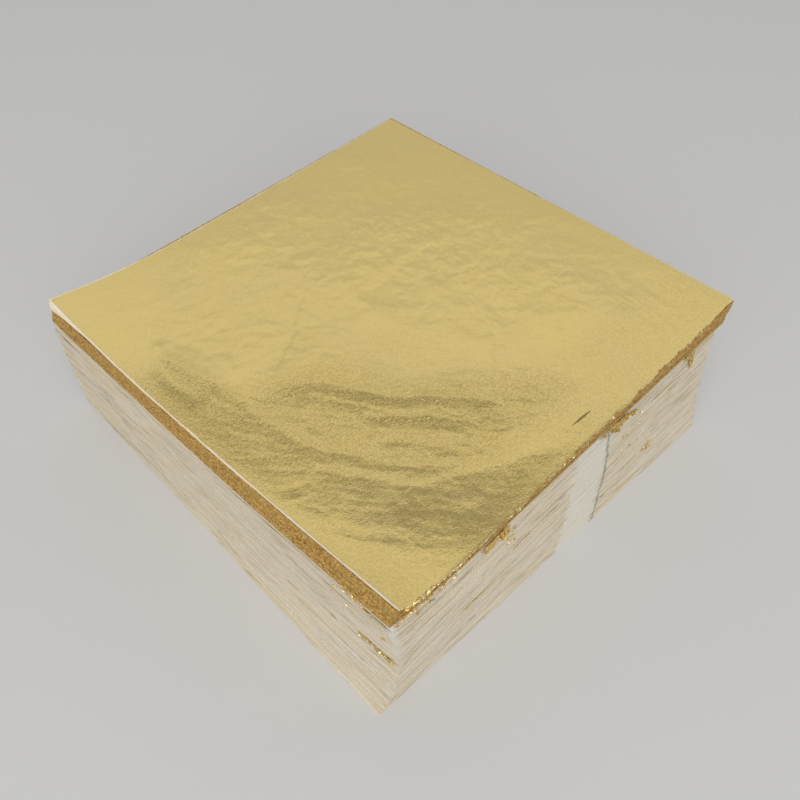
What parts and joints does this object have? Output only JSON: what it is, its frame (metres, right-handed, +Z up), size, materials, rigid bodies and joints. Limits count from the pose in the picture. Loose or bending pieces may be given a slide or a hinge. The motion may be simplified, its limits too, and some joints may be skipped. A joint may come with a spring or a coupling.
{
  "type": "metal leaf pack",
  "caption": "Loose square pile of metal leaf between white and brown tissue sheets, with curled corners, torn leaf edges and an open gold leaf on top.",
  "frame": {"origin": "middle of the flat underside of the lowest packet, on the surface that the pile stands on", "axes": "+Z up through the pile, +X and +Y along the sides of the lowest square sheet; the two sides that the picture shows face -X and -Y"},
  "size_m": [0.146, 0.1474, 0.0505],
  "materials": {
    "white_tissue": "matt warm white tissue, cut edges with fine layer lines",
    "brown_paper": "matt orange-brown paper with a fine grain",
    "inner_leaf": "bright thin metal leaf, torn edges",
    "open_leaf": "satin pale gold leaf, crumpled in waves with a fine dimpled grain"
  },
  "bodies": {
    "white_packet_01_body": {"white_packet_01": "white_tissue", "gold_leaf_01": "inner_leaf"},
    "white_packet_02_body": {"white_packet_02": "white_tissue", "gold_leaf_02": "inner_leaf"},
    "white_packet_03_body": {"white_packet_03": "white_tissue", "gold_leaf_03": "inner_leaf"},
    "white_packet_04_body": {"white_packet_04": "white_tissue", "gold_leaf_04": "inner_leaf"},
    "white_packet_05_body": {"white_packet_05": "white_tissue", "gold_leaf_05": "inner_leaf"},
    "white_packet_06_body": {"white_packet_06": "white_tissue", "gold_leaf_06": "inner_leaf"},
    "white_packet_07_body": {"white_packet_07": "white_tissue", "gold_leaf_07": "inner_leaf"},
    "white_packet_08_body": {"white_packet_08": "white_tissue", "gold_leaf_08": "inner_leaf"},
    "white_packet_09_body": {"white_packet_09": "white_tissue", "gold_leaf_09": "inner_leaf"},
    "white_packet_10_body": {"white_packet_10": "white_tissue", "gold_leaf_10": "inner_leaf"},
    "white_packet_11_body": {"white_packet_11": "white_tissue", "gold_leaf_11": "inner_leaf"},
    "white_packet_12_body": {"white_packet_12": "white_tissue", "gold_leaf_12": "inner_leaf"},
    "brown_packet_1_body": {"brown_packet_1": "brown_paper", "brown_packet_leaf_1": "inner_leaf"},
    "brown_packet_2_body": {"brown_packet_2": "brown_paper", "brown_packet_leaf_2": "inner_leaf"},
    "brown_packet_3_body": {"brown_packet_3": "brown_paper", "brown_packet_leaf_3": "inner_leaf"},
    "brown_packet_4_body": {"brown_packet_4": "brown_paper", "brown_packet_leaf_4": "inner_leaf"},
    "top_tissue_body": {"top_tissue": "white_tissue"},
    "top_gold_leaf_body": {"top_gold_leaf": "open_leaf"}
  },
  "joints": [
    {"name": "lift_white_packet_02", "type": "slide", "parent": "white_packet_01_body", "child": "white_packet_02_body", "axis": [0, 0, 1], "range_m": [0, 0.03]},
    {"name": "lift_white_packet_03", "type": "slide", "parent": "white_packet_02_body", "child": "white_packet_03_body", "axis": [0, 0, 1], "range_m": [0, 0.03]},
    {"name": "lift_white_packet_04", "type": "slide", "parent": "white_packet_03_body", "child": "white_packet_04_body", "axis": [0, 0, 1], "range_m": [0, 0.03]},
    {"name": "lift_white_packet_05", "type": "slide", "parent": "white_packet_04_body", "child": "white_packet_05_body", "axis": [0, 0, 1], "range_m": [0, 0.03]},
    {"name": "lift_white_packet_06", "type": "slide", "parent": "white_packet_05_body", "child": "white_packet_06_body", "axis": [0, 0, 1], "range_m": [0, 0.03]},
    {"name": "lift_white_packet_07", "type": "slide", "parent": "white_packet_06_body", "child": "white_packet_07_body", "axis": [0, 0, 1], "range_m": [0, 0.03]},
    {"name": "lift_white_packet_08", "type": "slide", "parent": "white_packet_07_body", "child": "white_packet_08_body", "axis": [0, 0, 1], "range_m": [0, 0.03]},
    {"name": "lift_white_packet_09", "type": "slide", "parent": "white_packet_08_body", "child": "white_packet_09_body", "axis": [0, 0, 1], "range_m": [0, 0.03]},
    {"name": "lift_white_packet_10", "type": "slide", "parent": "white_packet_09_body", "child": "white_packet_10_body", "axis": [0, 0, 1], "range_m": [0, 0.03]},
    {"name": "lift_white_packet_11", "type": "slide", "parent": "white_packet_10_body", "child": "white_packet_11_body", "axis": [0, 0, 1], "range_m": [0, 0.03]},
    {"name": "lift_white_packet_12", "type": "slide", "parent": "white_packet_11_body", "child": "white_packet_12_body", "axis": [0, 0, 1], "range_m": [0, 0.03]},
    {"name": "lift_brown_packet_1", "type": "slide", "parent": "white_packet_12_body", "child": "brown_packet_1_body", "axis": [0, 0, 1], "range_m": [0, 0.03]},
    {"name": "lift_brown_packet_2", "type": "slide", "parent": "brown_packet_1_body", "child": "brown_packet_2_body", "axis": [0, 0, 1], "range_m": [0, 0.03]},
    {"name": "lift_brown_packet_3", "type": "slide", "parent": "brown_packet_2_body", "child": "brown_packet_3_body", "axis": [0, 0, 1], "range_m": [0, 0.03]},
    {"name": "lift_brown_packet_4", "type": "slide", "parent": "brown_packet_3_body", "child": "brown_packet_4_body", "axis": [0, 0, 1], "range_m": [0, 0.03]},
    {"name": "lift_top_tissue", "type": "slide", "parent": "brown_packet_4_body", "child": "top_tissue_body", "axis": [0, 0, 1], "range_m": [0, 0.03]},
    {"name": "lift_top_gold_leaf", "type": "slide", "parent": "top_tissue_body", "child": "top_gold_leaf_body", "axis": [0, 0, 1], "range_m": [0, 0.03]}
  ]
}
